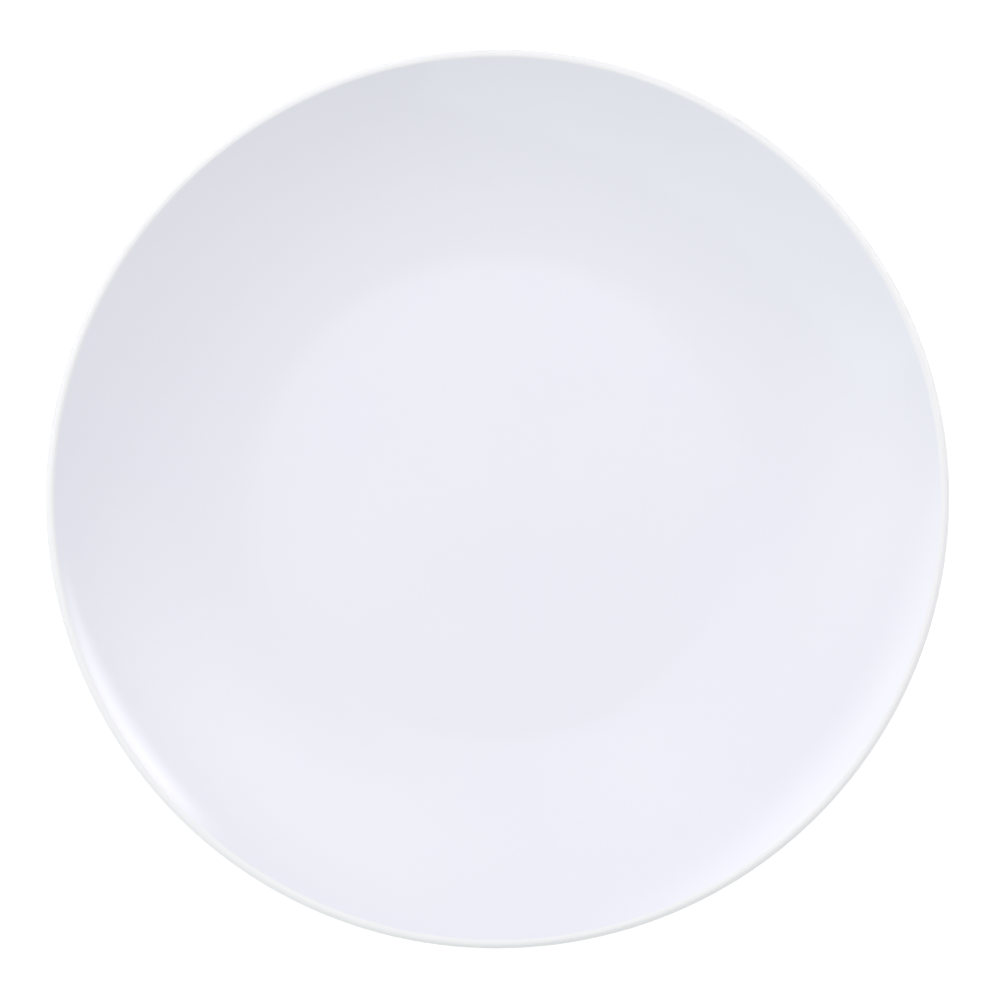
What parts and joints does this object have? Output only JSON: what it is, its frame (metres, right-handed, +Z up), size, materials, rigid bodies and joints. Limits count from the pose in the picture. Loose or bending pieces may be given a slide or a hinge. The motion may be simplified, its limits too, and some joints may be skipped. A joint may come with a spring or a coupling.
{
  "type": "dessert plate",
  "caption": "Round coupe dessert plate: flat well, curved wall rising to a thin rounded lip, and a bare ground foot ring under a white gloss glaze.",
  "frame": {"origin": "on the table, at the centre of the foot ring", "axes": "+Z up along the plate's axis of rotation; the plate is round, so X and Y are any two square directions"},
  "size_m": [0.2, 0.2, 0.024],
  "materials": {
    "bisque": "bare vitrified porcelain, ground matt on the foot",
    "glaze": "clear gloss glaze over white porcelain"
  },
  "bodies": {
    "root": {"porcelain_body": "bisque", "upper_glaze": "glaze", "underside_glaze": "glaze", "recess_glaze": "glaze"}
  },
  "joints": []
}
